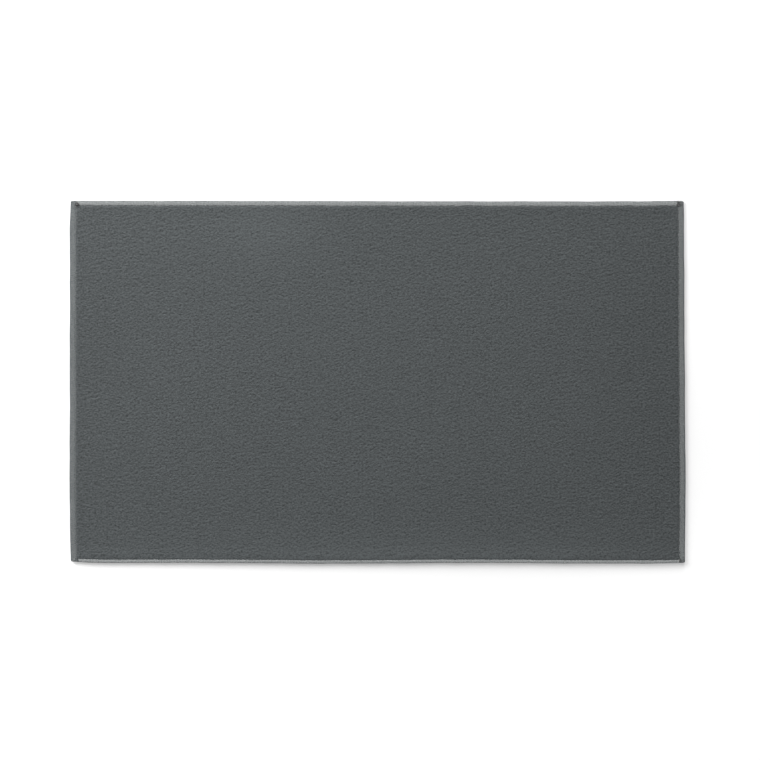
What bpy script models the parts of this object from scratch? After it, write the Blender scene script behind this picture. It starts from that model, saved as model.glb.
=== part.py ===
"""Quick dry towel, lying flat with its face side up, in metres.

X runs along the length from left to right, Y across the width from the near edge to the far edge, and
+Z up. The origin is on the surface that the towel lies on, under its centre. The towel is divided at
its three packing folds into four panels, and each panel holds a ground cloth between two layers of
pile. Overlock stitching wraps all four edges.
"""

import math

import bmesh
import bpy
from mathutils import Vector

# Overall size
LENGTH = 1.195
WIDTH = 0.7035

# Layers
GROUND_THICKNESS = 0.0006
PILE_HEIGHT = 0.0009

# Overlock stitching: a band of looper threads over and under each edge, with a needle thread inside it
SIDE_BAND_WIDTH = 0.0072
END_BAND_WIDTH = 0.0100
LOOPER_THICKNESS = 0.0006
RIM_THICKNESS = 0.0005
NEEDLE_THREAD_DIAMETER = 0.0005

# Cut thread ends curled up on the stitching at the corners
TAIL_DIAMETER = 0.0009
TAIL_CURL_RADIUS = 0.0030
TAIL_TURNS = {"left_far": 230, "right_far": 160, "right_near": 110, "left_near": 70}

# Clearances
REST_GAP = 0.0003
FOLD_GAP = 0.0006
FOLD_ROOM = 0.0020
STACK_ROOM = 0.0020
MEETING_GAP = 0.0120

# Roundness of the modelled edges
PILE_EDGE_RADIUS = 0.0005
RIM_RADIUS = 0.8 * min(RIM_THICKNESS, LOOPER_THICKNESS)
ROUND_SEGMENTS = 3
THREAD_SIDES = 8
TAIL_STEPS = 14
SAME_PLACE = 1e-6

# Heights, from the surface up
BACK_PILE_TOP = PILE_HEIGHT
GROUND_BOTTOM = BACK_PILE_TOP + REST_GAP
GROUND_TOP = GROUND_BOTTOM + GROUND_THICKNESS
FACE_PILE_BOTTOM = GROUND_TOP + REST_GAP
FACE_PILE_TOP = FACE_PILE_BOTTOM + PILE_HEIGHT
MIDDLE = (GROUND_BOTTOM + GROUND_TOP) / 2
LOOPER_INNER = GROUND_THICKNESS / 2 + REST_GAP
LOOPER_OUTER = LOOPER_INNER + LOOPER_THICKNESS
TAIL_HEIGHT = MIDDLE + LOOPER_OUTER + REST_GAP + TAIL_DIAMETER / 2
TAIL_TOP = TAIL_HEIGHT + TAIL_DIAMETER / 2

# Fold lines: an outer panel lies down on its inner panel, then the right half lies down on the left
OUTER_FOLD_X = (LENGTH + MEETING_GAP) / 4
OUTER_FOLD_Z = (FACE_PILE_TOP + TAIL_TOP + FOLD_ROOM) / 2
CENTRE_FOLD_Z = 2 * OUTER_FOLD_Z + STACK_ROOM / 2

# Distances in from the rim
NEEDLE_SLOT = NEEDLE_THREAD_DIAMETER + 2 * REST_GAP
RAW_EDGE = RIM_THICKNESS + REST_GAP
FIELD_X = LENGTH / 2 - END_BAND_WIDTH - NEEDLE_SLOT
FIELD_Y = WIDTH / 2 - SIDE_BAND_WIDTH - NEEDLE_SLOT

UP = Vector((0, 0, 1))
LENGTHWAYS = Vector((1, 0, 0))
CROSSWAYS = Vector((0, 1, 0))


def clear_scene():
    for old in list(bpy.data.objects):
        bpy.data.objects.remove(old, do_unlink=True)


def fabric(name, colour, roughness):
    material = bpy.data.materials.new(name)
    material.use_nodes = True
    shader = material.node_tree.nodes["Principled BSDF"]
    shader.inputs["Base Color"].default_value = (*colour, 1)
    shader.inputs["Roughness"].default_value = roughness
    shader.inputs["Metallic"].default_value = 0
    return material


def fold_axis(name, x, z, parent=None):
    """An empty on a fold's axis, with the panel that turns about it as its children."""
    axis = bpy.data.objects.new(name, None)
    axis.empty_display_size = 0.05
    bpy.context.scene.collection.objects.link(axis)
    parent_to(axis, Vector((x, 0, z)), parent)
    return axis


def origin_of(parent):
    """The world place of an empty and of the empties above it, none of which is turned."""
    if parent is None:
        return Vector((0, 0, 0))
    return parent.location + origin_of(parent.parent)


def parent_to(obj, place, parent):
    obj.parent = parent
    obj.location = place - origin_of(parent)


def add_object(name, bm, place, parent, material):
    """Makes an object from a bmesh drawn in world coordinates, with its origin at the given place."""
    bmesh.ops.translate(bm, verts=bm.verts, vec=-place)
    bmesh.ops.recalc_face_normals(bm, faces=bm.faces)
    mesh = bpy.data.meshes.new(name)
    bm.to_mesh(mesh)
    bm.free()
    mesh.shade_smooth()
    mesh.set_sharp_from_angle(angle=math.radians(40))
    mesh.materials.append(material)
    obj = bpy.data.objects.new(name, mesh)
    bpy.context.scene.collection.objects.link(obj)
    parent_to(obj, place, parent)
    return obj


def box(low, high):
    bm = bmesh.new()
    bmesh.ops.create_cube(bm, size=1)
    bmesh.ops.scale(bm, verts=bm.verts, vec=high - low)
    bmesh.ops.translate(bm, verts=bm.verts, vec=(low + high) / 2)
    return bm


def ground_cloth(panel, material):
    """The woven base, which runs right out to the raw edges inside the stitching."""
    low = Vector((panel["cloth"][0], -WIDTH / 2 + RAW_EDGE, GROUND_BOTTOM))
    high = Vector((panel["cloth"][1], WIDTH / 2 - RAW_EDGE, GROUND_TOP))
    name = panel["name"] + "_ground_cloth"
    add_object(name, box(low, high), (low + high) / 2, panel["parent"], material)


def pile_layer(panel, layer, bottom, top, outside, material):
    """One layer of pile, rounded over on its outer face wherever it meets the stitching."""
    low = Vector((panel["field"][0], -FIELD_Y, bottom))
    high = Vector((panel["field"][1], FIELD_Y, top))
    bm = box(low, high)
    rims = [(1, -FIELD_Y), (1, FIELD_Y)]
    rims += [(0, x) for x in panel["field"] if abs(abs(x) - FIELD_X) < SAME_PLACE]
    edges = [
        edge
        for edge in bm.edges
        if all(abs(vert.co.z - outside) < SAME_PLACE for vert in edge.verts)
        and any(all(abs(vert.co[axis] - at) < SAME_PLACE for vert in edge.verts) for axis, at in rims)
    ]
    bmesh.ops.bevel(
        bm,
        geom=edges,
        offset=min(PILE_EDGE_RADIUS, 0.8 * PILE_HEIGHT),
        segments=ROUND_SEGMENTS,
        profile=0.5,
        affect="EDGES",
    )
    name = f"{panel['name']}_{layer}_pile"
    add_object(name, bm, (low + high) / 2, panel["parent"], material)


def looper_profile(band_width, side):
    """Half of the band's section: a flat cover over the cloth, turned round the raw edge at the rim.

    Each point is (distance in from the rim, height from the middle of the cloth). The side is 1 for
    the upper looper and -1 for the lower one.
    """
    points = [(RIM_THICKNESS, REST_GAP / 2), (0, REST_GAP / 2)]
    for step in range(ROUND_SEGMENTS + 1):
        angle = math.radians(90) * step / ROUND_SEGMENTS
        across = RIM_RADIUS * (1 - math.cos(angle))
        points.append((across, LOOPER_OUTER - RIM_RADIUS * (1 - math.sin(angle))))
    points += [(band_width, LOOPER_OUTER), (band_width, LOOPER_INNER), (RIM_THICKNESS, LOOPER_INNER)]
    return [(across, side * height) for across, height in points]


def needle_profile(band_width):
    """The round section of the needle thread, in the slot between the band and the pile."""
    radius = NEEDLE_THREAD_DIAMETER / 2
    middle = band_width + REST_GAP + radius
    height = GROUND_THICKNESS / 2 + REST_GAP + radius
    turns = [2 * math.pi * step / THREAD_SIDES for step in range(THREAD_SIDES)]
    return [(middle + radius * math.cos(turn), height + radius * math.sin(turn)) for turn in turns]


def edge_strip(name, profile, rim, inward, along, span, parent, material):
    """A section drawn across an edge of the towel and extruded along it, over the given span."""
    bm = bmesh.new()
    start = rim + along * span[0]
    section = [bm.verts.new(start + inward * across + UP * height) for across, height in profile]
    face = bm.faces.new(section)
    swept = bmesh.ops.extrude_face_region(bm, geom=[face])
    moved = [item for item in swept["geom"] if isinstance(item, bmesh.types.BMVert)]
    bmesh.ops.translate(bm, verts=moved, vec=along * (span[1] - span[0]))
    place = rim + along * (span[0] + span[1]) / 2
    add_object(name, bm, place, parent, material)


def overlock(prefix, band_width, rim, inward, along, span, needle_span, parent, threads):
    """The three threads of an overlocked edge: two loopers and the needle thread."""
    looper, needle = threads
    for layer, side in (("upper", 1), ("lower", -1)):
        profile = looper_profile(band_width, side)
        name = f"{prefix}_{layer}_looper_thread"
        edge_strip(name, profile, rim, inward, along, span, parent, looper)
    name = prefix + "_needle_thread"
    edge_strip(name, needle_profile(band_width), rim, inward, along, needle_span, parent, needle)


def thread_tail(corner, parent, material):
    """A cut thread end that curls round on top of the end band, near a corner."""
    toward_right = 1 if corner.startswith("right") else -1
    toward_far = 1 if corner.endswith("far") else -1
    centre = Vector((
        toward_right * (LENGTH / 2 - END_BAND_WIDTH / 2),
        toward_far * (WIDTH / 2 - END_BAND_WIDTH / 2),
        TAIL_HEIGHT,
    ))
    curve = bpy.data.curves.new(corner + "_thread_tail", "CURVE")
    curve.dimensions = "3D"
    curve.bevel_depth = TAIL_DIAMETER / 2
    curve.bevel_resolution = 2
    curve.use_fill_caps = True
    spline = curve.splines.new("POLY")
    spline.points.add(TAIL_STEPS)
    for step, point in enumerate(spline.points):
        share = step / TAIL_STEPS
        angle = math.radians(TAIL_TURNS[corner]) * share
        radius = TAIL_CURL_RADIUS * (1 - 0.35 * share)
        point.co = (
            toward_right * radius * math.cos(angle),
            toward_far * radius * math.sin(angle),
            0,
            1,
        )
    curve.materials.append(material)
    tail = bpy.data.objects.new(curve.name, curve)
    bpy.context.scene.collection.objects.link(tail)
    parent_to(tail, centre, parent)


def panels():
    """The four panels, with the stretch of X that the cloth and the pile of each one covers."""
    centre_axis = fold_axis("centre_fold_axis", 0, CENTRE_FOLD_Z)
    left_axis = fold_axis("left_quarter_fold_axis", -OUTER_FOLD_X, OUTER_FOLD_Z)
    right_axis = fold_axis("right_quarter_fold_axis", OUTER_FOLD_X, OUTER_FOLD_Z, centre_axis)
    half_gap = FOLD_GAP / 2
    inner = (half_gap, OUTER_FOLD_X - half_gap)
    cloth = (OUTER_FOLD_X + half_gap, LENGTH / 2 - RAW_EDGE)
    field = (OUTER_FOLD_X + half_gap, FIELD_X)

    def mirrored(span):
        return (-span[1], -span[0])

    return [
        {"name": "left_outer", "parent": left_axis, "cloth": mirrored(cloth), "field": mirrored(field)},
        {"name": "left_inner", "parent": None, "cloth": mirrored(inner), "field": mirrored(inner)},
        {"name": "right_inner", "parent": centre_axis, "cloth": inner, "field": inner},
        {"name": "right_outer", "parent": right_axis, "cloth": cloth, "field": field},
    ]


def build():
    clear_scene()
    ground = fabric("ground_cloth", (0.075, 0.085, 0.088), 0.9)
    face = fabric("face_pile", (0.090, 0.102, 0.104), 0.95)
    back = fabric("back_pile", (0.085, 0.096, 0.098), 0.95)
    looper = fabric("looper_thread", (0.250, 0.265, 0.265), 0.75)
    needle = fabric("needle_thread", (0.200, 0.212, 0.215), 0.7)
    tail = fabric("thread_tail", (0.110, 0.100, 0.095), 0.8)

    rows = panels()
    for panel in rows:
        ground_cloth(panel, ground)
        pile_layer(panel, "face", FACE_PILE_BOTTOM, FACE_PILE_TOP, FACE_PILE_TOP, face)
        pile_layer(panel, "back", 0, BACK_PILE_TOP, 0, back)
        for edge, side in (("near", -1), ("far", 1)):
            rim = Vector((0, side * WIDTH / 2, MIDDLE))
            prefix = f"{panel['name']}_{edge}_edge"
            overlock(
                prefix,
                SIDE_BAND_WIDTH,
                rim,
                -side * CROSSWAYS,
                LENGTHWAYS,
                panel["field"],
                panel["field"],
                panel["parent"],
                (looper, needle),
            )

    for panel, side in ((rows[0], -1), (rows[-1], 1)):
        end = panel["name"].split("_")[0]
        overlock(
            end + "_end",
            END_BAND_WIDTH,
            Vector((side * LENGTH / 2, 0, MIDDLE)),
            -side * LENGTHWAYS,
            CROSSWAYS,
            (-WIDTH / 2, WIDTH / 2),
            (-WIDTH / 2 + RAW_EDGE, WIDTH / 2 - RAW_EDGE),
            panel["parent"],
            (looper, needle),
        )
        for edge in ("near", "far"):
            thread_tail(f"{end}_{edge}", panel["parent"], tail)


build()
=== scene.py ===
"""Looks of the quick dry towel: terry cloth with pile on both sides and overlocked edges, lying flat.

Everything is in metres in the frame of the CAD model: X along the towel, Y across it, +Z up.
"""

import math

import bpy
import numpy as np
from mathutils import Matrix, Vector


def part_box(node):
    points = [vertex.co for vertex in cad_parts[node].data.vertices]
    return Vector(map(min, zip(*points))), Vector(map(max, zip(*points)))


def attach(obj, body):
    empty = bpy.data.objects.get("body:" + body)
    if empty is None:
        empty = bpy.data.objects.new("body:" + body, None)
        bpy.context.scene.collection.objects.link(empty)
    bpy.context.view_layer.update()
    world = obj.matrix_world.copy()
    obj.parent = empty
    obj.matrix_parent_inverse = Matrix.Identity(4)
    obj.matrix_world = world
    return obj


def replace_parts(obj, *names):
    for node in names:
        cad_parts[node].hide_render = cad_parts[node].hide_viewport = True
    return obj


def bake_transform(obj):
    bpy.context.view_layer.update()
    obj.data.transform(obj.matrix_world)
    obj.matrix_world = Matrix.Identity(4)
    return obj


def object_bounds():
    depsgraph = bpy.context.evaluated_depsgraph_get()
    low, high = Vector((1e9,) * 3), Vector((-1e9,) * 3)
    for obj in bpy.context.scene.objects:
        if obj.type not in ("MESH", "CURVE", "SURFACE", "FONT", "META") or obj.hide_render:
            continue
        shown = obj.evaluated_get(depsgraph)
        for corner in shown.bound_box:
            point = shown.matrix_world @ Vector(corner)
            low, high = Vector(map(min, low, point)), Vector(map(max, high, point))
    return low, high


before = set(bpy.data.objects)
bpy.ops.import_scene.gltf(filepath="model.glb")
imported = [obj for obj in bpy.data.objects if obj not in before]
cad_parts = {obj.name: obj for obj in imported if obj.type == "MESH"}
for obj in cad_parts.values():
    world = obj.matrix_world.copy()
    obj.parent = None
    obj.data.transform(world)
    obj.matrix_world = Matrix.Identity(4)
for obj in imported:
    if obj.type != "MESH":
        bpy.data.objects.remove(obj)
CAD_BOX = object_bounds()
MM = 0.001

# ---------------------------------------------------------------- sizes read from the frame

LENGTH = CAD_BOX[1].x - CAD_BOX[0].x
WIDTH = CAD_BOX[1].y - CAD_BOX[0].y
PILE_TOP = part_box("left_inner_face_pile")[1].z
GROUND_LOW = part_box("left_inner_ground_cloth")[0].z
GROUND_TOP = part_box("left_inner_ground_cloth")[1].z
MIDDLE = (GROUND_LOW + GROUND_TOP) / 2
CLOTH_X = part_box("right_outer_ground_cloth")[1].x
CLOTH_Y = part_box("right_outer_ground_cloth")[1].y


def node_size(node, axis):
    """The size of a CAD node along an axis."""
    low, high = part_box(node)
    return high[axis] - low[axis]


SIDE_BAND = node_size("left_inner_far_edge_upper_looper_thread", 1)
END_BAND = node_size("left_end_upper_looper_thread", 0)
# How wide the band is on each edge. The overlocker cut them a little unevenly
BANDS = {
    "near": SIDE_BAND - 1.3 * MM,
    "far": SIDE_BAND + 2.1 * MM,
    "left": END_BAND + 1.0 * MM,
    "right": END_BAND + 1.5 * MM,
}

# ---------------------------------------------------------------- how the cloth lies

# How far each edge lies outside its straight line, in mm, at points along it from -1 to 1
EDGE_DRIFT = {
    "far": [(-1, 1.2), (-0.7, 1.0), (-0.3, 0.6), (0.1, 0.1), (0.6, -0.2), (0.85, 0), (1, 1.0)],
    "near": [(-1, -3.2), (-0.92, -0.8), (-0.6, -1.0), (-0.15, 0.5), (0.35, -1.0), (0.65, 0.3), (0.85, 0.5),
             (1, -0.4)],
    "left": [(-1, -1.7), (-0.85, -0.5), (-0.55, 0.7), (-0.15, 0.2), (0.1, 0.4), (0.6, 0), (0.85, 0.5),
             (1, -1.3)],
    "right": [(-1, 0.4), (-0.55, 1.7), (-0.1, 0.4), (0.5, -0.8), (1, -1.7)],
}
# The power by which the drift of an edge fades towards the middle of the cloth
DRIFT_FADE = 3
# The waves of each edge: the length of a radian, the height, and how the phase follows the edge's own
RIPPLE_WAVES = [(15.2 * MM, 0.11 * MM, 1.0), (8.3 * MM, 0.077 * MM, 2.1), (27.1 * MM, 0.088 * MM, 3.3)]
RIPPLE_PHASES = {"right": 0.4, "left": 1.7, "far": 2.6, "near": 3.9}
# The mean swell of the cloth. Its waves: the length of a radian along X and along Y, the phase, and the share
SWELL = 0.34 * MM
SWELL_WAVES = [(69 * MM, 190 * MM, 1.1, 1.0), (-150 * MM, 47 * MM, 0.4, 0.6)]
# How far the rim curls up, how much more the near one does, and over what width
RIM_LIFT = 0.5 * MM
NEAR_LIFT = 0.8 * MM
RIM_LIFT_WIDTH = 35 * MM
# The height that the lift never passes
MOST_LIFT = 1.2 * MM


def smoothstep(t):
    """Rises from 0 to 1 as t does, level at both ends."""
    t = np.clip(t, 0, 1)
    return t * t * (3 - 2 * t)


def through(points, at):
    """A smooth curve through a few (place, height) points, flat at each of them."""
    places = np.array([point[0] for point in points], float)
    heights = np.array([point[1] for point in points], float)
    at = np.clip(at, places[0], places[-1])
    index = np.clip(np.searchsorted(places, at, side="right") - 1, 0, len(places) - 2)
    share = (at - places[index]) / (places[index + 1] - places[index])
    return heights[index] + (heights[index + 1] - heights[index]) * smoothstep(share)


def ripple(along, phase):
    """Small waves of an edge that was cut and sewn by hand, in metres."""
    return sum(height * np.sin(along / radian + turn * phase) for radian, height, turn in RIPPLE_WAVES)


def place(x, y):
    """Where a point of the straight rectangle really lies in the plane."""
    across = np.clip(2 * y / WIDTH, -1, 1)
    along = np.clip(2 * x / LENGTH, -1, 1)
    moved = {}
    for edge, toward in (("right", along), ("left", -along), ("far", across), ("near", -across)):
        share, run = (across, y) if edge in ("right", "left") else (along, x)
        out = through(EDGE_DRIFT[edge], share) * MM + ripple(run, RIPPLE_PHASES[edge])
        moved[edge] = out * np.clip(toward, 0, 1) ** DRIFT_FADE
    return x + moved["right"] - moved["left"], y + moved["far"] - moved["near"]


def lift(x, y):
    """How high the underside of the cloth lies over the surface under it."""
    waves = [share * (1 + np.sin(x / radian_x + y / radian_y + phase))
             for radian_x, radian_y, phase, share in SWELL_WAVES]
    swell = sum(waves) / sum(share for *_, share in SWELL_WAVES)
    rim = np.minimum(LENGTH / 2 - np.abs(x), WIDTH / 2 - np.abs(y))
    curl = 1 - smoothstep(rim / RIM_LIFT_WIDTH)
    near_curl = 1 - smoothstep((WIDTH / 2 + y) / RIM_LIFT_WIDTH)
    total = SWELL * swell + RIM_LIFT * curl + NEAR_LIFT * near_curl
    return MOST_LIFT * np.tanh(total / MOST_LIFT)


# ---------------------------------------------------------------- meshes from arrays


def make_object(name, points, faces, materials, face_materials=None, maps=None, values=None):
    """A mesh object from arrays. Maps are UVs of each face corner, and values are numbers of each point."""
    mesh = bpy.data.meshes.new(name)
    mesh.from_pydata(points.tolist(), [], faces)
    for map_name, corners in (maps or {}).items():
        layer = mesh.uv_layers.new(name=map_name)
        layer.uv.foreach_set("vector", np.asarray(corners, np.float32).ravel())
    for value_name, numbers in (values or {}).items():
        attribute = mesh.attributes.new(value_name, "FLOAT", "POINT")
        attribute.data.foreach_set("value", np.asarray(numbers, np.float32))
    for material in materials:
        mesh.materials.append(material)
    if face_materials is not None:
        mesh.polygons.foreach_set("material_index", np.asarray(face_materials, np.int32))
    mesh.shade_smooth()
    mesh.validate()
    obj = bpy.data.objects.new(name, mesh)
    bpy.context.scene.collection.objects.link(obj)
    return obj


# ---------------------------------------------------------------- the pile's relief

# The spacing of the pile's grid, and the height of a spread of its relief
GRID_X = 2.3 * MM
GRID_Y = 1.5 * MM
RELIEF = 0.07 * MM
# The pile's lumps are short dashes in rows, and grain: their sizes along X and Y, and their shares
DASH_SIZE = (1.3 * MM, 0.8 * MM)
DASH_SHARE = 0.85
DASH_ROWS = 2.6 * MM
GRAIN_SIZE = (0.6 * MM, 0.6 * MM)
GRAIN_SHARE = 0.5
# The tallest lump, in spreads
MOST_LUMP = 2.6
# The tone of pile of mean height, the painted shading that a spread of height adds (painted shade in the
# hollows and painted light on the crests), and the painted light that lifts the shade of the shoulder at the
# needle line
PILE_TONE = 0.5
LUMP_PAINTED_SHADING = 0.2
SHOULDER_PAINTED_LIGHT = 0.25
# How far the pile's border wanders at the needle line, and the size of the wandering
RAGGED = 0.3 * MM
RAGGED_SIZE = (3 * MM, 3 * MM)
# How full the pile is, at distances in mm from the needle line
SHOULDER = [(-1.2, 0.05), (0, 0.42), (1.8, 0.86), (4.5, 1.0)]


def stations(breaks, step):
    """Grid lines through all the breaks, evenly spaced between each two."""
    lines = [breaks[0]]
    for low, high in zip(breaks[:-1], breaks[1:]):
        count = max(1, round((high - low) / step))
        lines += [low + (high - low) * (i + 1) / count for i in range(count)]
    return np.array(lines)


def mirrored(breaks):
    """The breaks and their mirror images, in order."""
    return [-b for b in reversed(breaks) if b > 0] + list(breaks)


def soft_noise(shape, size, seed, row_pitch=None):
    """Random lumps of unit spread, of a size given along X and Y. A row pitch sets them in rows along X."""
    white = np.random.default_rng(seed).standard_normal(shape)
    down = np.fft.fftfreq(shape[0], GRID_Y)[:, None]
    over = np.fft.rfftfreq(shape[1], GRID_X)[None, :]
    smear = np.exp(-2 * (math.pi * size[0] * over) ** 2 - 2 * (math.pi * size[1] * down) ** 2)
    if row_pitch:
        smear = smear * (1 - np.exp(-2 * (math.pi * row_pitch * down) ** 2))
    lumps = np.fft.irfft2(np.fft.rfft2(white) * smear, s=shape)
    return np.clip(lumps / lumps.std(), -MOST_LUMP, MOST_LUMP)


CUT = LENGTH / 6
NEEDLE_LINES = {
    "near": WIDTH / 2 - BANDS["near"],
    "far": WIDTH / 2 - BANDS["far"],
    "left": LENGTH / 2 - BANDS["left"],
    "right": LENGTH / 2 - BANDS["right"],
}
# The sections meet at the cuts. The even grid stops a little inside the right and the far needle lines, and
# closer lines go on from there, at these steps from each needle line
EVEN_END = 6 * MM
X_BREAKS = [0, CUT, NEEDLE_LINES["right"] - EVEN_END]
Y_BREAKS = [0, NEEDLE_LINES["far"] - EVEN_END]
EDGE_STEPS = [-4.4 * MM, -3.0 * MM, -1.9 * MM, -1.1 * MM, -0.5 * MM, 0]


def border_lines(needle_line, cloth_edge):
    """Grid lines that are close together at a needle line, and go on to the edge of the cloth."""
    lines = [needle_line + step for step in EDGE_STEPS]
    return np.array(lines + [(needle_line + cloth_edge) / 2, cloth_edge])


def grid_lines(breaks, step, low, high, cloth_edge):
    """All grid lines from one edge of the cloth to the other, with needle lines at low and high."""
    even = stations(mirrored(breaks), step)
    return np.concatenate([-border_lines(low, cloth_edge)[::-1], even, border_lines(high, cloth_edge)])


XS = grid_lines(X_BREAKS, GRID_X, NEEDLE_LINES["left"], NEEDLE_LINES["right"], CLOTH_X)
YS = grid_lines(Y_BREAKS, GRID_Y, NEEDLE_LINES["near"], NEEDLE_LINES["far"], CLOTH_Y)
GRID = np.meshgrid(XS, YS)

# Patches of painted light and painted shade on the pile, lighter where the strength is above 0 and darker
# where it
# is below: the middle of each patch and its spread, in shares of the towel's half sizes, and how strong it is
PAINTED_LIGHT_PATCHES = [
    (0.08, -0.95, 0.85, 0.14, 0.17),
    (-0.36, 0.84, 0.17, 0.20, 0.16),
    (0.10, 0.00, 0.45, 0.80, 0.03),
    (0.95, 0.00, 0.25, 0.90, -0.10),
    (-0.95, 0.40, 0.16, 0.60, -0.07),
]


def painted_light_at(x, y):
    """How much painted light or painted shade the pile gets over the grid."""
    total = np.zeros_like(x)
    for across, up, spread_x, spread_y, strength in PAINTED_LIGHT_PATCHES:
        away = ((2 * x / LENGTH - across) / spread_x) ** 2 + ((2 * y / WIDTH - up) / spread_y) ** 2
        total += strength * np.exp(-away)
    return total


def pile_surface(seed):
    """How far the pile stands out from the ground cloth over the grid, and its tone: 0 is dark, 1 light. The
    tone holds painted shade and light by height, painted light on the shoulder and patches of painted light
    and shade.
    """
    x, y = GRID
    dashes = soft_noise(x.shape, DASH_SIZE, seed, row_pitch=DASH_ROWS)
    grain = soft_noise(x.shape, GRAIN_SIZE, seed + 1)
    lumps = DASH_SHARE * dashes + GRAIN_SHARE * grain
    ragged = soft_noise(x.shape, RAGGED_SIZE, seed + 2)
    inside_x = np.minimum(NEEDLE_LINES["right"] - x, NEEDLE_LINES["left"] + x)
    inside = np.minimum(inside_x, np.minimum(NEEDLE_LINES["far"] - y, NEEDLE_LINES["near"] + y))
    inside = inside + RAGGED * ragged * (inside > 0)
    shoulder = through(SHOULDER, inside / MM)
    height = shoulder * (PILE_TOP - GROUND_TOP) + RELIEF * lumps * shoulder
    # Painted shading by the lumps' height, painted light on the shoulder, and the patches of painted light
    # and shade
    tone = PILE_TONE + LUMP_PAINTED_SHADING * lumps + SHOULDER_PAINTED_LIGHT * (1 - shoulder) + painted_light_at(x, y)
    return height, np.clip(tone, 0, 1)


# ---------------------------------------------------------------- materials


def new_material(name):
    """The node tree, the shader and the material."""
    material = bpy.data.materials.new(name)
    material.use_nodes = True
    return material.node_tree, material.node_tree.nodes["Principled BSDF"], material


def node(tree, kind, links=None, **settings):
    """Adds a node. Settings that name an input set its value, and the others set the node itself."""
    made = tree.nodes.new(kind)
    for key, value in settings.items():
        label = key.replace("_", " ").title()
        if label in made.inputs:
            made.inputs[label].default_value = value
        else:
            setattr(made, key, value)
    for label, socket in (links or {}).items():
        tree.links.new(socket, made.inputs[label])
    return made


def math_node(tree, operation, first, second):
    """A socket with the result of a sum or product. Each operand is a number or a socket."""
    made = tree.nodes.new("ShaderNodeMath")
    made.operation = operation
    for slot, value in zip(made.inputs, (first, second)):
        if isinstance(value, (int, float)):
            slot.default_value = value
        else:
            tree.links.new(value, slot)
    return made.outputs[0]


def weighted_sum(tree, parts, start=0.0):
    """A socket with the sum of some sockets, each times its weight, and a starting number."""
    total = start
    for socket, weight in parts:
        total = math_node(tree, "ADD", math_node(tree, "MULTIPLY", socket, weight), total)
    return total


def dress(tree, shader, colour, rough, height, strength, distance):
    """Joins a colour, a roughness and a bump to the shader."""
    bump = node(tree, "ShaderNodeBump", {"Height": height}, strength=strength, distance=distance)
    tree.links.new(colour, shader.inputs["Base Color"])
    tree.links.new(rough, shader.inputs["Roughness"])
    tree.links.new(bump.outputs["Normal"], shader.inputs["Normal"])


def colour_ramp(tree, factor, stops):
    """A socket with the colour at a factor, between stops of a position and a colour."""
    ramp = tree.nodes.new("ShaderNodeValToRGB")
    elements = ramp.color_ramp.elements
    while len(elements) < len(stops):
        elements.new(0.5)
    for element, (position, colour) in zip(elements, stops):
        element.position = position
        element.color = (*colour, 1)
    tree.links.new(factor, ramp.inputs["Fac"])
    return ramp.outputs["Color"]


def shade(colour, factor):
    """The colour made lighter or darker."""
    return tuple(channel * factor for channel in colour)


PILE_COLOUR = (0.0535, 0.0600, 0.0620)
THREAD_COLOUR = (0.345, 0.360, 0.360)
DARK_TAIL_COLOUR = (0.030, 0.026, 0.025)
# Loops are longer along X than across it, by this share of the pattern's scale
PATTERN_STRETCH = (0.65, 1, 1)
# What makes the pile's tone, with the weight of each, and the start that centres their sum. The surface
# brings the painted light and shade of the pile's tone, and the tips paint shade between the loops
PILE_WEIGHTS = {"surface": 0.75, "yarn": 0.35, "tips": 0.15, "mottle": 0.08, "speckle": 1.5}
PILE_START = -0.86


def pile_material():
    """Short dense loops: painted shade between them and painted light on their tips."""
    tree, shader, material = new_material("terry_pile")
    cloth = node(tree, "ShaderNodeUVMap", uv_map="cloth").outputs["UV"]
    stretched = node(tree, "ShaderNodeMapping", {"Vector": cloth})
    stretched.inputs["Scale"].default_value = PATTERN_STRETCH
    along = {"Vector": stretched.outputs[0]}
    loops = node(tree, "ShaderNodeTexVoronoi", along, scale=760.0).outputs["Distance"]
    yarn = node(tree, "ShaderNodeTexNoise", along, scale=1500.0, detail=3.0).outputs["Fac"]
    speckle = node(tree, "ShaderNodeTexNoise", along, scale=400.0, detail=1.0).outputs["Fac"]
    mottle = node(tree, "ShaderNodeTexNoise", {"Vector": cloth}, scale=22.0, detail=2.0).outputs["Fac"]
    # The attribute holds the pile's tone with its painted light and painted shade
    surface = node(tree, "ShaderNodeAttribute", attribute_name="pile").outputs["Fac"]
    # Painted shade between the loops and painted light on their tips; the tips also raise the bump
    tips = math_node(tree, "SUBTRACT", 1, loops)
    sockets = {"surface": surface, "yarn": yarn, "tips": tips, "mottle": mottle, "speckle": speckle}
    tone = weighted_sum(tree, [(sockets[key], weight) for key, weight in PILE_WEIGHTS.items()], PILE_START)
    stops = [(0.1, shade(PILE_COLOUR, 0.5)), (0.5, PILE_COLOUR), (0.9, shade(PILE_COLOUR, 1.5))]
    dress(tree, shader, colour_ramp(tree, tone, stops), weighted_sum(tree, [(yarn, 0.12)], start=0.84),
          weighted_sum(tree, [(tips, 1.0), (yarn, 0.8)]), strength=0.55, distance=0.35 * MM)
    shader.inputs["Sheen Weight"].default_value = 0.12
    shader.inputs["Sheen Roughness"].default_value = 0.6
    shader.inputs["Specular IOR Level"].default_value = 0.2
    return material


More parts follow.
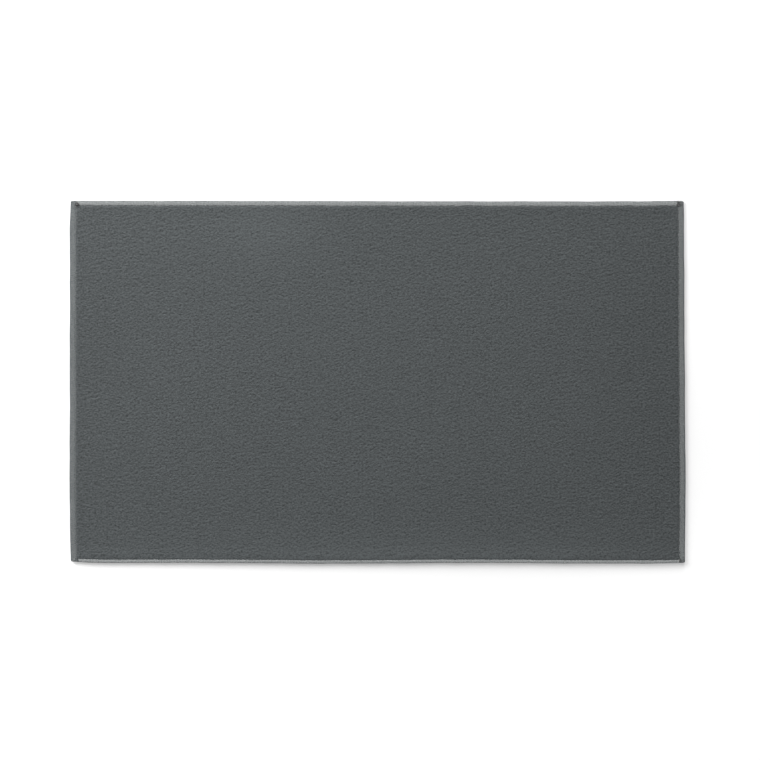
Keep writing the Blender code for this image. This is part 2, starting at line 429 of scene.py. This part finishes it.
def thread_material(name, colour, twist):
    """Spun thread: plies wound round it, with fine fibres, and a tone that changes along it."""
    tree, shader, material = new_material(name)
    strand = node(tree, "ShaderNodeUVMap", uv_map="strand").outputs["UV"]
    wound = node(tree, "ShaderNodeTexWave", {"Vector": strand}, scale=twist, bands_direction="DIAGONAL")
    plies = wound.outputs["Fac"]
    fibres = node(tree, "ShaderNodeTexNoise", {"Vector": strand}, scale=2600.0, detail=2.0).outputs["Fac"]
    tone = node(tree, "ShaderNodeTexNoise", {"Vector": strand}, scale=140.0, detail=2.0).outputs["Fac"]
    mixed = weighted_sum(tree, [(plies, 0.3), (tone, 0.7)])
    stops = [(0.2, shade(colour, 0.74)), (0.5, colour), (0.8, shade(colour, 1.2))]
    dress(tree, shader, colour_ramp(tree, mixed, stops), weighted_sum(tree, [(fibres, 0.2)], start=0.6),
          weighted_sum(tree, [(plies, 1.0), (fibres, 1.0)]), strength=0.5, distance=0.08 * MM)
    shader.inputs["Sheen Weight"].default_value = 0.15
    shader.inputs["Specular IOR Level"].default_value = 0.3
    return material


def bed_material():
    """The cut cloth and flattened pile that show between the threads of the stitched band."""
    tree, shader, material = new_material("overlock_bed")
    strand = node(tree, "ShaderNodeUVMap", uv_map="strand").outputs["UV"]
    fuzz = node(tree, "ShaderNodeTexNoise", {"Vector": strand}, scale=900.0, detail=4.0).outputs["Fac"]
    stops = [(0.25, shade(PILE_COLOUR, 0.9)), (0.75, shade(PILE_COLOUR, 2.2))]
    dress(tree, shader, colour_ramp(tree, fuzz, stops), weighted_sum(tree, [(fuzz, 0.1)], start=0.85),
          fuzz, strength=0.6, distance=0.2 * MM)
    return material


# ---------------------------------------------------------------- the cloth in three pieces

# The hidden inner face: its rows of points, and its distance from the cloth's middle
INNER_ROWS = 14
INNER_OFFSET = 0.1 * MM
FLOOR_CONTACT = 0.02 * MM
# Half the width of cloth that bends at each hinge
QUARTER_ZONE = 4.5 * MM
CENTRE_ZONE = 8 * MM
# Grid lines this close are one line
SAME_PLACE = 1e-9
# The cloth's sections: their ends, and the fold, the two bodies and the zone that each bends with
SECTIONS = {
    "left": (-CLOTH_X, -CUT, "left_quarter_fold", "left_outer_panel", "left_inner_panel", QUARTER_ZONE),
    "middle": (-CUT, CUT, "centre_fold", "left_inner_panel", "right_inner_panel", CENTRE_ZONE),
    "right": (CUT, CLOTH_X, "right_quarter_fold", "right_inner_panel", "right_outer_panel", QUARTER_ZONE),
}
PANELS = {
    "left": ["left_outer"],
    "middle": ["left_inner", "right_inner"],
    "right": ["right_outer"],
}


def bend_with_panels(piece):
    """Bakes the piece's placement into its mesh."""
    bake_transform(piece)


def grid_quads(rows, columns):
    """The faces of a grid of points that are numbered row by row."""
    row, column = np.meshgrid(np.arange(rows - 1), np.arange(columns - 1), indexing="ij")
    first = (row * columns + column).ravel()
    return np.stack([first, first + 1, first + columns + 1, first + columns], axis=1)


def zipper(first, second, first_places, second_places):
    """Triangles between two rows of points that run the same way with different spacing."""
    faces = []
    i = j = 0
    while i < len(first) - 1 or j < len(second) - 1:
        second_done = j == len(second) - 1
        if second_done or (i < len(first) - 1 and first_places[i + 1] <= second_places[j + 1]):
            faces.append([first[i], first[i + 1], second[j]])
            i += 1
        else:
            faces.append([first[i], second[j + 1], second[j]])
            j += 1
    return faces


def grid_normals(points):
    """Normals of a grid of points, pointing up."""
    across = np.cross(np.gradient(points, axis=1), np.gradient(points, axis=0))
    return across / np.linalg.norm(across, axis=2, keepdims=True)


def cloth_side(side, up, seed, material, nodes):
    """One face of the cloth: pile outside and the smooth ground cloth inside, in three closed pieces."""
    x, y = GRID
    # The tone carries the pile's painted light and painted shade
    height, tone = pile_surface(seed)
    flat_x, flat_y = place(x, y)
    middle = MIDDLE + lift(x, y)
    outside = middle + up * (GROUND_TOP - MIDDLE + height)
    outside = np.maximum(outside, FLOOR_CONTACT)
    inside = middle + up * INNER_OFFSET
    relief = np.stack([flat_x, flat_y, outside], axis=2)
    lining = np.stack([flat_x, flat_y, inside], axis=2)
    normals = grid_normals(relief) * up
    rows = np.unique(np.linspace(0, len(YS) - 1, INNER_ROWS).astype(int))
    made = {}
    for section, (low, high, *_) in SECTIONS.items():
        columns = np.flatnonzero((XS >= low - SAME_PLACE) & (XS <= high + SAME_PLACE))
        made[section] = pile_piece(f"{side}_pile_{section}", up, relief[:, columns], lining[rows][:, columns],
                                   normals[:, columns], tone[:, columns], columns, rows, material)
        bend_with_panels(made[section])
        names = [f"{panel}_{node}" for panel in PANELS[section] for node in nodes]
        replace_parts(made[section], *names)
    return made


def pile_faces(high, wide, rows, up):
    """The faces of a closed piece, and the group of each: relief, lining, near, far, left or right wall."""
    count = high * wide
    top = np.arange(count).reshape(high, wide)
    under = count + np.arange(len(rows) * wide).reshape(len(rows), wide)
    relief = grid_quads(high, wide).tolist()
    lining = (grid_quads(len(rows), wide)[:, ::-1] + count).tolist()
    near = [[top[0, c + 1], top[0, c], under[0, c], under[0, c + 1]] for c in range(wide - 1)]
    far = [[top[-1, c], top[-1, c + 1], under[-1, c + 1], under[-1, c]] for c in range(wide - 1)]
    left = zipper(top[:, 0], under[:, 0], YS, YS[rows])
    right = [face[::-1] for face in zipper(top[:, -1], under[:, -1], YS, YS[rows])]
    parts = (relief, lining, near, far, left, right)
    faces = [[int(v) for v in face[::up]] for part in parts for face in part]
    return faces, [group for group, part in enumerate(parts) for _ in part]


def pile_maps(columns, rows, corners, group, up):
    """The cloth's pattern and the bake layout, for each corner of a piece's faces."""
    x = np.tile(XS[columns], len(YS) + len(rows))
    y = np.repeat(np.concatenate([YS, YS[rows]]), len(columns))
    share_x = (x - x.min()) / (x.max() - x.min())
    share_y = (y - y.min()) / (y.max() - y.min())
    is_lining = corners >= len(YS) * len(columns)
    layout = pile_layout(group, share_x[corners], share_y[corners], is_lining)
    return {"cloth": np.stack([x, y * up], axis=1)[corners], "OFBake": layout}


def pile_piece(name, up, relief, lining, normals, tone, columns, rows, material):
    """A closed piece between the relief outside and the lining inside, with walls on its four sides."""
    faces, groups = pile_faces(*relief.shape[:2], rows, up)
    corners = np.concatenate([np.asarray(face) for face in faces])
    group = np.repeat(groups, [len(face) for face in faces])
    points = np.concatenate([relief.reshape(-1, 3), lining.reshape(-1, 3)])
    # The tone, with its painted light and painted shade, goes into the attribute named pile
    tones = np.concatenate([tone.ravel(), np.zeros(len(rows) * len(columns))])
    piece = make_object(name, points, faces, [material], maps=pile_maps(columns, rows, corners, group, up),
                        values={"pile": tones})
    given = np.zeros((len(corners), 3))
    given[group == 0] = normals.reshape(-1, 3)[corners[group == 0]]
    piece.data.normals_split_custom_set(given.tolist())
    return piece


# Where the relief, the lining and the near, far, left and right walls go in the bake, as shares of its width:
# the left side of each, how wide the first two are, and how wide a wall is. The margin is above and below
LAYOUT_LEFT = np.array([0.010, 0.900, 0.952, 0.964, 0.976, 0.988])
LAYOUT_WIDTH = np.array([0.880, 0.045, 0, 0, 0, 0])
LAYOUT_WALL = 0.009
LAYOUT_MARGIN = 0.01


def pile_layout(group, share_x, share_y, is_lining):
    """Where each corner goes in the bake: the relief in a wide field, and the hidden sides in strips."""
    wall = np.where((group >= 2) & is_lining, LAYOUT_WALL, 0)
    along = np.where((group == 2) | (group == 3), share_x, share_y)
    across = LAYOUT_LEFT[group] + LAYOUT_WIDTH[group] * share_x + wall
    return np.stack([across, LAYOUT_MARGIN + (1 - 2 * LAYOUT_MARGIN) * along], axis=1)


# ---------------------------------------------------------------- overlocked edges

# How deep a looper thread sinks into the bed, and the bed's half height and the length of its rounded rim
THREAD_SINK = 0.08 * MM
BED_HEIGHT = 0.62 * MM
BED_NOSE = 1.3 * MM
# The pressed cloth rises from the needle line: how far in from the line each point is, and how high. It is
# at its full height from this far inside the band's middle
BED_RISE = [(0.5 * MM, 0.25 * MM), (-0.2 * MM, 0.36 * MM), (-1.3 * MM, 0.95 * BED_HEIGHT)]
BED_TOP = 0.2 * MM
NOSE_POINTS = 6
# The bed's points: their spacing along the edge, where they lie across it, and how uneven they are
BED_STEP = 1.6 * MM
BED_SHARES = np.concatenate([np.linspace(0, 0.78, 7), [0.86, 0.92, 0.96, 1.0]])
BED_UNEVEN = 0.13
# The length of the bed's outline in section, in widths of the band
BED_OUTLINE = 2.4
CORNER_RADIUS = 3.4 * MM
# How far the bed of a long edge goes from the towel's middle
SIDE_END = NEEDLE_LINES["right"] + 4.5 * MM
# How far the stitching of a long edge stops short of its bed, at the left end and at the right one
BARE_ENDS = {"near": (8.5 * MM, 4.0 * MM), "far": (4.0 * MM, 4.0 * MM)}
# The stitch length and the radius of the looper thread
STITCH = {
    "near": (2.8 * MM, 0.50 * MM),
    "far": (2.8 * MM, 0.50 * MM),
    "left": (3.8 * MM, 0.21 * MM),
    "right": (3.3 * MM, 0.26 * MM),
}
# A thread's points along a stitch, its sides, and the rows that a long one takes in the bake
POINTS_PER_STITCH = 10
THREAD_SIDES = 6
THREAD_ROWS = 24
# A looper swings between two shares of the band's profile, each with its unevenness. It leans along the edge
# and wanders by shares of a stitch
LOOPER_INNER = (0.10, 0.08)
LOOPER_REACH = (0.84, 0.05)
LOOPER_LEAN = 0.11
LOOPER_WANDER = 0.10
# The needle thread: how far in from the needle line, how far it wanders, its mean height, and how far it dips
NEEDLE_RADIUS = 0.25 * MM
NEEDLE_INWARD = 0.25 * MM
NEEDLE_WANDER = 0.12 * MM
NEEDLE_HEIGHT = 0.75 * MM
NEEDLE_DIP = 0.32 * MM
# Each edge: its kind, its side, the width of its band and its half length
EDGES = {
    "near": ("side", -1, BANDS["near"], SIDE_END),
    "far": ("side", 1, BANDS["far"], SIDE_END),
    "left": ("end", -1, BANDS["left"], WIDTH / 2),
    "right": ("end", 1, BANDS["right"], WIDTH / 2),
}


def band_profile(band):
    """The band's upper half in section, from the needle line to the rim: how far in, and how high."""
    rise = [(band + inward, height) for inward, height in BED_RISE]
    top = [(band / 2 + BED_TOP, BED_HEIGHT)]
    turn = np.linspace(0, math.pi / 2, NOSE_POINTS)
    nose = [(BED_NOSE * (1 - math.sin(t)), BED_HEIGHT * math.cos(t)) for t in turn]
    return np.array(rise + top + nose)


# The profile's direction at a point is taken over this much each way
PROFILE_STEP = 0.1 * MM


def along_profile(profile, share):
    """Points and outward normals on the profile, at shares of its length from 0 to 1."""
    steps = np.linalg.norm(np.diff(profile, axis=0), axis=1)
    length = np.concatenate([[0], np.cumsum(steps)])
    here = np.clip(share, 0, 1) * length[-1]
    found, ahead, behind = [
        np.stack([np.interp(here + step, length, profile[:, i]) for i in (0, 1)], axis=-1)
        for step in (0, PROFILE_STEP, -PROFILE_STEP)
    ]
    run = ahead - behind
    run = run / np.linalg.norm(run, axis=-1, keepdims=True)
    return found, np.stack([run[..., 1], -run[..., 0]], axis=-1)


def on_edge(edge, along, inward, height):
    """World points of an edge: along it, in from its rim, and up from the cloth's middle."""
    kind, sign, band, _ = EDGES[edge]
    half = LENGTH / 2 if kind == "side" else WIDTH / 2
    from_corner = np.clip(CORNER_RADIUS - (half - np.abs(along)), 0, CORNER_RADIUS)
    cut_off = CORNER_RADIUS - np.sqrt(CORNER_RADIUS**2 - from_corner**2)
    inward = inward + cut_off * np.clip(1 - inward / band, 0, 1)
    if kind == "side":
        x, y = along, sign * (WIDTH / 2 - inward)
    else:
        x, y = sign * (LENGTH / 2 - inward), along
    flat_x, flat_y = place(x, y)
    return np.stack([flat_x, flat_y, MIDDLE + lift(x, y) + height], axis=-1)


def edge_normals(edge, normal, up):
    """Profile normals, as (inward, height), turned into world directions."""
    kind, sign = EDGES[edge][:2]
    outward = -sign * normal[..., 0]
    zero = np.zeros_like(outward)
    flat = (zero, outward) if kind == "side" else (outward, zero)
    return np.stack([*flat, up * normal[..., 1]], axis=-1)


def volume_sign(rings):
    """1 or -1, by which way round the rings go."""
    centre = rings.mean(axis=(0, 1))
    a, b = rings[:-1] - centre, np.roll(rings[:-1], -1, axis=1) - centre
    c = rings[1:] - centre
    return np.sign(np.einsum("ijk,ijk->ij", a, np.cross(b, c)).sum())


# A tube's bake layout: its sides fill this share of the width and of each row, and its two caps are small
# discs beyond them, with their middles at these heights. A cap shows this much of the thread's pattern
SIDE_SHARE = 0.97
ROW_SHARE = 0.92
DISC_PLACE = 0.985
DISC_RADIUS = 0.01
DISC_HEIGHTS = (0.3, 0.7)
CAP_PATTERN = 0.2 * MM


def corner_maps(low_u, low_v, high_u, high_v):
    """The map of each quad's four corners, from its limits."""
    return np.stack([low_u, low_v, low_u, high_v, high_u, high_v, high_u, low_v], axis=1).reshape(-1, 4, 2)


def cap_maps(sides, along, around):
    """The bake layout and the pattern of the first and the last cap."""
    turn = 2 * math.pi * np.arange(sides) / sides
    disc = np.stack([DISC_PLACE + DISC_RADIUS * np.cos(turn), DISC_RADIUS * np.sin(turn)], axis=1)
    first, last = [disc + (0, height) for height in DISC_HEIGHTS]
    start, stop = [np.stack([place + CAP_PATTERN * np.cos(turn), around[:-1]], axis=1)
                   for place in (along[0], along[-1])]
    return [first[::-1], last], [start[::-1], stop]


def sweep(rings, along, around, rows=1):
    """A closed tube through rings of points: its points, faces and the maps of their corners."""
    count, sides = rings.shape[:2]
    number = np.arange((count - 1) * sides)
    ring, side = number // sides, number % sides
    after = (side + 1) % sides
    quads = np.stack([ring * sides + side, ring * sides + after, (ring + 1) * sides + after,
                      (ring + 1) * sides + side], axis=1)
    pattern = corner_maps(along[ring], around[side], along[ring + 1], around[side + 1])
    row_length = math.ceil((count - 1) / rows)
    low_u = (ring % row_length) / row_length * SIDE_SHARE
    low_v = (ring // row_length + side / sides * ROW_SHARE) / rows
    layout = corner_maps(low_u, low_v, low_u + SIDE_SHARE / row_length, low_v + ROW_SHARE / sides / rows)
    cap = np.arange(sides)
    caps = [cap[::-1], (count - 1) * sides + cap]
    cap_layout, cap_pattern = cap_maps(sides, along, around)
    if volume_sign(rings) < 0:
        quads, pattern, layout = quads[:, ::-1], pattern[:, ::-1], layout[:, ::-1]
        caps, cap_layout, cap_pattern = [[part[::-1] for part in parts]
                                         for parts in (caps, cap_layout, cap_pattern)]
    faces = quads.tolist() + [part.tolist() for part in caps]
    maps = {
        "strand": np.concatenate([pattern.reshape(-1, 2), *cap_pattern]),
        "OFBake": np.concatenate([layout.reshape(-1, 2), *cap_layout]),
    }
    return rings.reshape(-1, 3), faces, maps


def tube_rings(path, normals, radius, sides=THREAD_SIDES):
    """Rings round a path, each turned so that it starts on the given normal."""
    run = np.gradient(path, axis=0)
    run = run / np.linalg.norm(run, axis=1, keepdims=True)
    side = np.cross(run, normals)
    side = side / np.linalg.norm(side, axis=1, keepdims=True)
    up = np.cross(side, run)
    turn = (2 * math.pi * np.arange(sides) / sides)[None, :, None]
    return path[:, None] + radius * (np.cos(turn) * up[:, None] + np.sin(turn) * side[:, None])


def path_length(path):
    """How far along the path each of its points is."""
    return np.concatenate([[0], np.cumsum(np.linalg.norm(np.diff(path, axis=0), axis=1))])


def tube(path, normals, radius, sides=THREAD_SIDES, rows=1):
    """A round thread along a path."""
    around = 2 * math.pi * radius * np.arange(sides + 1) / sides
    return sweep(tube_rings(path, normals, radius, sides), path_length(path), around, rows)


def edge_sections(edge):
    """Names and limits of the pieces that an edge is made in."""
    kind, _, _, half = EDGES[edge]
    if kind == "end":
        return {edge: (-half, half)}
    return {name: (max(low, -half), min(high, half)) for name, (low, high, *_) in SECTIONS.items()}


def settle(piece, edge, section, nodes):
    """An end piece rides with its panel and a side piece keeps its place, and the piece stands for their CAD
    nodes.
    """
    if EDGES[edge][0] == "end":
        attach(piece, f"{edge}_outer_panel")
        names = [f"{edge}_end_{node}" for node in nodes]
    else:
        bend_with_panels(piece)
        names = [f"{panel}_{edge}_edge_{node}" for panel in PANELS[section] for node in nodes]
    if names:
        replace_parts(piece, *names)
    return piece


def stitch_path(edge, low, high, seed):
    """How many stitches an edge has, where each point is in stitches, and random slack for each stitch."""
    count = round((high - low) / STITCH[edge][0])
    step = np.arange(count * POINTS_PER_STITCH + 1) / POINTS_PER_STITCH
    slack = np.random.default_rng(seed).uniform(-1, 1, (3, count + 2))
    slack[:, [0, count, count + 1]] = 0
    return count, step, slack


def edge_piece(edge, section, part, mesh, material, nodes):
    """A finished piece of an edge, named after its part. The mesh is its points, faces and maps."""
    kind = EDGES[edge][0]
    name = f"{edge}_edge_{part}_{section}" if kind == "side" else f"{edge}_end_{part}"
    points, faces, maps = mesh
    piece = make_object(name, points, faces, [material], maps=maps)
    return settle(piece, edge, section, nodes)


def looper(edge, section, low, high, up, seed, material):
    """The looper thread of one side of an edge: a zigzag from the needle line over the rim."""
    band = EDGES[edge][2]
    radius = STITCH[edge][1]
    count, step, slack = stitch_path(edge, low, high, seed)
    pitch = (high - low) / count
    number = np.minimum(step.astype(int), count)
    part = step - number
    lean = LOOPER_LEAN * np.sin(4 * math.pi * part)
    along = low + pitch * (step + lean * (step > 0.5) * (step < count - 0.5))
    along = along + LOOPER_WANDER * pitch * slack[0][number] * np.sin(math.pi * part) ** 2
    reach = LOOPER_REACH[0] + LOOPER_REACH[1] * slack[1][number]
    inner = LOOPER_INNER[0] + LOOPER_INNER[1] * slack[2][np.round(step).astype(int)]
    share = inner + (reach - inner) * (0.5 - 0.5 * np.cos(2 * math.pi * part))
    spot, normal = along_profile(band_profile(band), share)
    spot = spot + normal * (radius - THREAD_SINK)
    path = on_edge(edge, along, spot[:, 0], up * spot[:, 1])
    mesh = tube(path, edge_normals(edge, normal, up), radius, rows=THREAD_ROWS)
    thread = "upper_looper" if up > 0 else "lower_looper"
    return edge_piece(edge, section, thread, mesh, material, [f"{thread}_thread"])


def needle_thread(edge, section, low, high, seed, material):
    """The needle thread of an edge: a line of stitches that dip into the cloth."""
    count, step, slack = stitch_path(edge, low, high, seed)
    number = np.minimum(step.astype(int), count)
    along = low + (high - low) / count * step
    wander = NEEDLE_WANDER * slack[0][number] * np.sin(math.pi * (step - number)) ** 2
    height = NEEDLE_HEIGHT - NEEDLE_DIP * np.cos(2 * math.pi * step)
    path = on_edge(edge, along, EDGES[edge][2] + NEEDLE_INWARD + wander, height)
    upward = np.tile([0.0, 0.0, 1.0], (len(path), 1))
    mesh = tube(path, upward, NEEDLE_RADIUS, rows=THREAD_ROWS)
    return edge_piece(edge, section, "needle_stitches", mesh, material, ["needle_thread"])


def band_bed(edge, section, low, high, seed, material):
    """The cut edge of the cloth, pressed together and rounded over the rim."""
    band = EDGES[edge][2]
    count = round((high - low) / BED_STEP)
    along = low + (high - low) * np.arange(count + 1) / count
    spot, _ = along_profile(band_profile(band), BED_SHARES)
    inward = np.concatenate([spot[:, 0], spot[-2::-1, 0]])
    height = np.concatenate([spot[:, 1], -spot[-2::-1, 1]])
    noise = np.random.default_rng(seed).uniform(-1, 1, (count + 1, len(inward)))
    noise[[0, -1]] = 0
    grid_along = np.repeat(along[:, None], len(inward), axis=1)
    grid_inward = np.repeat(inward[None], count + 1, axis=0)
    rings = on_edge(edge, grid_along, grid_inward, height[None] * (1 + BED_UNEVEN * noise))
    mesh = sweep(rings, along, np.linspace(0, BED_OUTLINE * band, len(inward) + 1), rows=2)
    return edge_piece(edge, section, "bed", mesh, material, [])


def overlocked_edge(edge, seed, materials):
    """The bed, the loopers and the needle stitches of one edge, by section."""
    made = {}
    for number, (section, (low, high)) in enumerate(edge_sections(edge).items()):
        start = seed + 10 * number
        bed = band_bed(edge, section, low, high, start, materials["bed"])
        if EDGES[edge][0] == "side":
            first, last = BARE_ENDS[edge]
            low, high = np.clip((low, high), first - SIDE_END, SIDE_END - last)
        made[section] = [
            bed,
            looper(edge, section, low, high, 1, start + 1, materials["looper"]),
            looper(edge, section, low, high, -1, start + 2, materials["looper"]),
            needle_thread(edge, section, low, high, start + 3, materials["needle"]),
        ]
    return made


# ---------------------------------------------------------------- cut thread tails at the corners

# For each corner: how far in from the end and from the side and the curl's radius, in mm, where it starts and
# how far it turns, in degrees, how many of its three strands are dark, and the size of its knot in mm
TAILS = {
    "left_far": (12.5, 6.5, 3.4, -30, 500, 3, 1.7),
    "right_far": (10.5, 5.2, 4.4, 200, 800, 2, 1.7),
    "right_near": (10.0, 5.6, 6.0, 100, 75, 3, 0),
    "left_near": (7.0, 5.0, 1.8, 20, 90, 0, 0),
}
STRANDS = 3
STRAND_RADIUS = 0.30 * MM
STRAND_SIDES = 8
# The strands wind round the tail's line at this distance, this many times
STRAND_SPREAD = 0.32 * MM
STRAND_TURNS = 5.5
# The curl closes by this share of its radius, and rises by this much
CURL_CLOSE = 0.35
CURL_RISE = 0.3 * MM
TAIL_POINTS = 61
# The knot: its points, its height as a share of its size, and the point of the tail's line that it sits on
KNOT_POINTS = 73
KNOT_HEIGHT = 0.3
KNOT_PLACE = 4


def knot_path(centre, size):
    """A small overhand knot."""
    t = np.linspace(0, 2 * math.pi, KNOT_POINTS)
    flat = np.stack([np.sin(t) + 2 * np.sin(2 * t), np.cos(t) - 2 * np.cos(2 * t)], axis=1) * size / 3
    return np.concatenate([flat, -np.sin(3 * t)[:, None] * size * KNOT_HEIGHT], axis=1) + centre


def tail_paths(corner):
    """The paths of a tail's strands and of its knot, each with 1 if it is dark and 0 if it is light."""
    from_end, from_side, radius, start, turn, dark_count, knot = TAILS[corner]
    low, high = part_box(f"{corner}_thread_tail")
    x = math.copysign(LENGTH / 2 - from_end * MM, low.x)
    y = math.copysign(WIDTH / 2 - from_side * MM, low.y)
    centre = np.array([*place(x, y), (low.z + high.z) / 2 + lift(x, y)])
    t = np.linspace(0, 1, TAIL_POINTS)
    angle = np.radians(start + turn * t)
    spiral = radius * MM * (1 - CURL_CLOSE * t)
    line = np.stack([spiral * np.cos(angle), spiral * np.sin(angle), CURL_RISE * t], axis=1)
    line = line - line.mean(axis=0) + centre
    outward = np.stack([np.cos(angle), np.sin(angle), 0 * t], axis=1)
    paths = []
    for number in range(STRANDS):
        twist = 2 * math.pi * (STRAND_TURNS * t + number / STRANDS)
        offset = np.cos(twist)[:, None] * outward + np.sin(twist)[:, None] * (0, 0, 1)
        paths.append((line + STRAND_SPREAD * offset, int(number < dark_count)))
    if knot:
        paths.append((knot_path(line[KNOT_PLACE], knot * MM), 1))
    return paths


def thread_tail(corner, light, dark):
    """The chained threads that the machine left at a corner, curled up, with a knot at two corners."""
    strands = tail_paths(corner)
    points, faces, face_materials, maps = [], [], [], {"strand": [], "OFBake": []}
    for number, (path, colour) in enumerate(strands):
        nearly_up = np.tile([0.01, 0.01, 1.01], (len(path), 1))
        some, more, layers = tube(path, nearly_up, STRAND_RADIUS, sides=STRAND_SIDES)
        offset = sum(len(part) for part in points)
        points.append(some)
        faces += [[v + offset for v in face] for face in more]
        face_materials += [colour] * len(more)
        layers["OFBake"][:, 1] = (layers["OFBake"][:, 1] + number) / len(strands)
        for key, layer in layers.items():
            maps[key].append(layer)
    maps = {key: np.concatenate(layer) for key, layer in maps.items()}
    name = f"{corner}_cut_tail"
    piece = make_object(name, np.concatenate(points), faces, [light, dark], face_materials, maps)
    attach(piece, corner.split("_")[0] + "_outer_panel")
    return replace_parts(piece, f"{corner}_thread_tail")


# ---------------------------------------------------------------- the studio

# The camera looks straight down, from a little off the towel's middle. The view's width is at the pile's top
CAMERA_X = 5.3 * MM
CAMERA_Y = 4.4 * MM
VIEW_WIDTH = 1.477
LENS = 85.0
SENSOR = 36.0
FLOOR_SIZE = 30.0
FLOOR_COLOUR = (0.93, 0.93, 0.93, 1)
# The floor's painted glow, an emission that stands in for light, near the towel and away from it, and where
# it starts and stops to rise, in half sizes of the towel from its middle
PAINTED_FLOOR_GLOW = (0.03, 0.22)
PAINTED_GLOW_REACH = (0.95, 1.9)


def add_camera():
    """The photo's view: straight down, with no depth of field."""
    data = bpy.data.cameras.new("camera")
    data.lens = LENS
    data.sensor_width = SENSOR
    data.clip_start = 0.05
    data.clip_end = 100
    camera = bpy.data.objects.new("camera", data)
    camera.location = (CAMERA_X, CAMERA_Y, PILE_TOP + VIEW_WIDTH * LENS / SENSOR)
    bpy.context.scene.collection.objects.link(camera)
    bpy.context.scene.camera = camera


def add_floor():
    """A plain pale floor with a painted glow that rises away from the towel, to make up for the lamps'
    falloff.
    """
    tree, shader, material = new_material("studio_floor")
    spot = node(tree, "ShaderNodeTexCoord").outputs["Object"]
    spread = node(tree, "ShaderNodeMapping", {"Vector": spot})
    spread.inputs["Scale"].default_value = (2 / LENGTH, 2 / WIDTH, 0)
    away = node(tree, "ShaderNodeVectorMath", {"Vector": spread.outputs[0]}, operation="LENGTH")
    painted_glow = node(tree, "ShaderNodeMapRange", {"Value": away.outputs["Value"]}, interpolation_type="SMOOTHSTEP")
    for label, number in zip(("From Min", "From Max", "To Min", "To Max"), PAINTED_GLOW_REACH + PAINTED_FLOOR_GLOW):
        painted_glow.inputs[label].default_value = number
    tree.links.new(painted_glow.outputs["Result"], shader.inputs["Emission Strength"])
    shader.inputs["Base Color"].default_value = FLOOR_COLOUR
    shader.inputs["Roughness"].default_value = 0.9
    shader.inputs["Specular IOR Level"].default_value = 0.0
    shader.inputs["Emission Color"].default_value = (1, 1, 1, 1)
    half = FLOOR_SIZE / 2
    points = np.array([[-half, -half, 0], [half, -half, 0], [half, half, 0], [-half, half, 0]])
    floor = make_object("studio_floor", points, [[0, 1, 2, 3]], [material])
    return floor


# How bright the surroundings are as a light, and as the camera sees them
SKY = 0.54
BACKDROP = 0.73
KEY_PLACE = (-2.85, 2.15, 0.97)
KEY_SIZE = 1.8
KEY_POWER = 250.0
TOP_PLACE = (0.4, 4.6, 1.05)
TOP_SIZE = 1.8
TOP_POWER = 205.0


def add_softbox(name, location, size, power):
    """A round softbox that faces the middle of the towel."""
    data = bpy.data.lights.new(name, "AREA")
    data.shape = "DISK"
    data.size = size
    data.energy = power
    light = bpy.data.objects.new(name, data)
    light.location = location
    light.rotation_euler = (-light.location).to_track_quat("-Z", "Y").to_euler()
    light.visible_camera = False
    bpy.context.scene.collection.objects.link(light)


def add_lights():
    """Two softboxes, and surroundings that are a little brighter to the camera than as a light."""
    add_softbox("key_light", KEY_PLACE, KEY_SIZE, KEY_POWER)
    add_softbox("top_light", TOP_PLACE, TOP_SIZE, TOP_POWER)
    world = bpy.data.worlds.new("studio")
    bpy.context.scene.world = world
    world.use_nodes = True
    tree = world.node_tree
    background = tree.nodes["Background"]
    background.inputs["Color"].default_value = (1, 1, 1, 1)
    seen = tree.nodes.new("ShaderNodeLightPath").outputs["Is Camera Ray"]
    strength = math_node(tree, "ADD", math_node(tree, "MULTIPLY", seen, BACKDROP - SKY), SKY)
    tree.links.new(strength, background.inputs["Strength"])


# ---------------------------------------------------------------- everything together

add_camera()
floor = add_floor()
add_lights()

pile = pile_material()
face = cloth_side("face", 1, 11, pile, ["face_pile", "ground_cloth"])
back = cloth_side("back", -1, 31, pile, ["back_pile"])

threads = {
    "bed": bed_material(),
    "looper": thread_material("looper_yarn", THREAD_COLOUR, 260.0),
    "needle": thread_material("needle_yarn", shade(THREAD_COLOUR, 0.6), 420.0),
}
edges = {edge: overlocked_edge(edge, 100 * (i + 1), threads) for i, edge in enumerate(EDGES)}

tail_light = thread_material("tail_yarn_light", shade(THREAD_COLOUR, 1.1), 380.0)
tail_dark = thread_material("tail_yarn_dark", DARK_TAIL_COLOUR, 380.0)
tails = {corner: thread_tail(corner, tail_light, tail_dark) for corner in TAILS}

for section, (low, high, *_) in SECTIONS.items():
    on_it = [piece for edge in ("near", "far") for piece in edges[edge][section]]
    if section != "middle":
        on_it += edges[section][section]
        on_it += [tail for corner, tail in tails.items() if corner.startswith(section)]

bpy.context.scene.view_settings.view_transform = "Standard"
